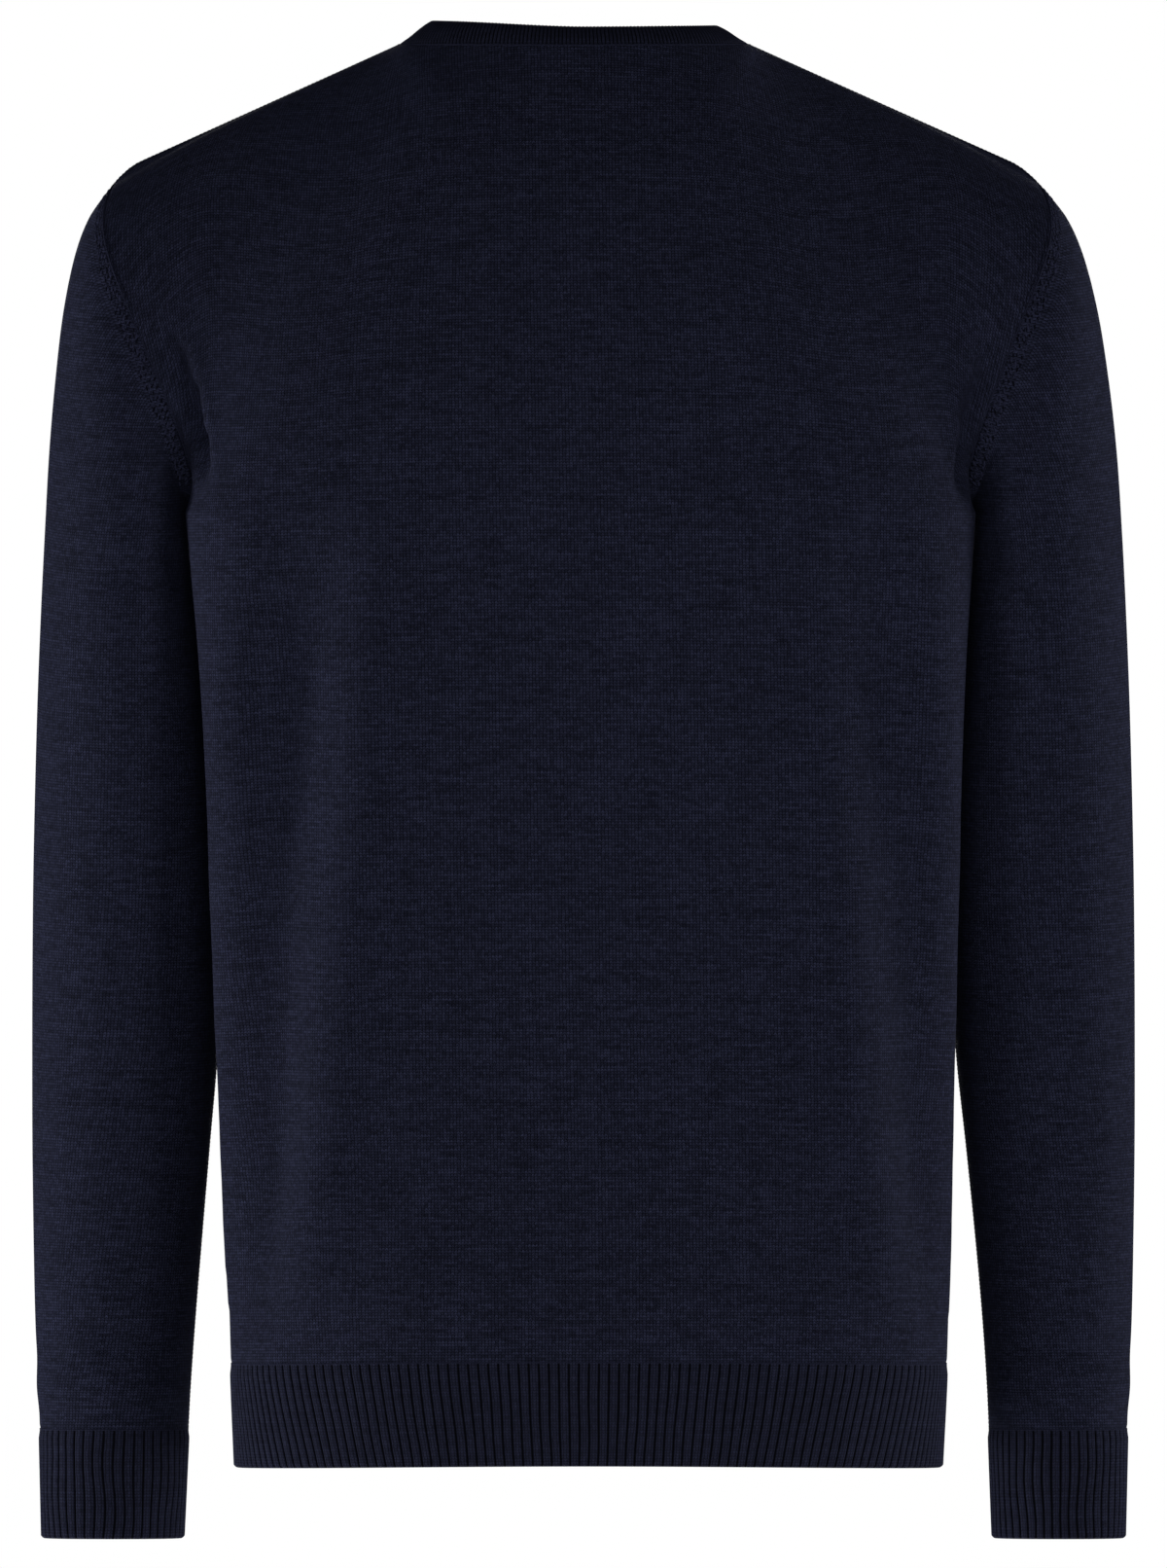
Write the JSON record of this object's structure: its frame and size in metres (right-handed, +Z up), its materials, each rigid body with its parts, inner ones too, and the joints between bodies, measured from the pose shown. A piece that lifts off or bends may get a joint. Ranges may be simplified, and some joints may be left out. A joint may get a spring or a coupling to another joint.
{
  "type": "v-neck sweater",
  "caption": "Fine-knit navy wool sweater with long set-in sleeves, a V neck with a ribbed band, and a ribbed hem and cuffs, hollow and filled out as worn.",
  "frame": {"origin": "the middle of the neck opening, at the height where the shoulder line meets the neckband", "axes": "+Z up along the wearer's body, -Y to the wearer's front, +X to the wearer's left"},
  "size_m": [0.529, 0.2372, 0.7255],
  "materials": {
    "back_panel_knit": "fine plain knit in navy melange wool, matt",
    "front_panel_knit": "fine plain knit in navy melange wool, matt",
    "left_sleeve_knit": "fine plain knit in navy melange wool, matt",
    "right_sleeve_knit": "fine plain knit in navy melange wool, matt",
    "neckband_knit": "very fine rib knit in navy wool, matt",
    "back_hem_rib_knit": "rib knit in dark navy wool, matt",
    "front_hem_rib_knit": "rib knit in dark navy wool, matt",
    "left_cuff_rib_knit": "rib knit in dark navy wool, matt",
    "right_cuff_rib_knit": "rib knit in dark navy wool, matt"
  },
  "bodies": {
    "root": {"back_panel": "back_panel_knit", "front_panel": "front_panel_knit", "left_sleeve": "left_sleeve_knit", "right_sleeve": "right_sleeve_knit", "neckband": "neckband_knit", "back_hem_rib": "back_hem_rib_knit", "front_hem_rib": "front_hem_rib_knit", "left_cuff_rib": "left_cuff_rib_knit", "right_cuff_rib": "right_cuff_rib_knit"}
  },
  "joints": []
}
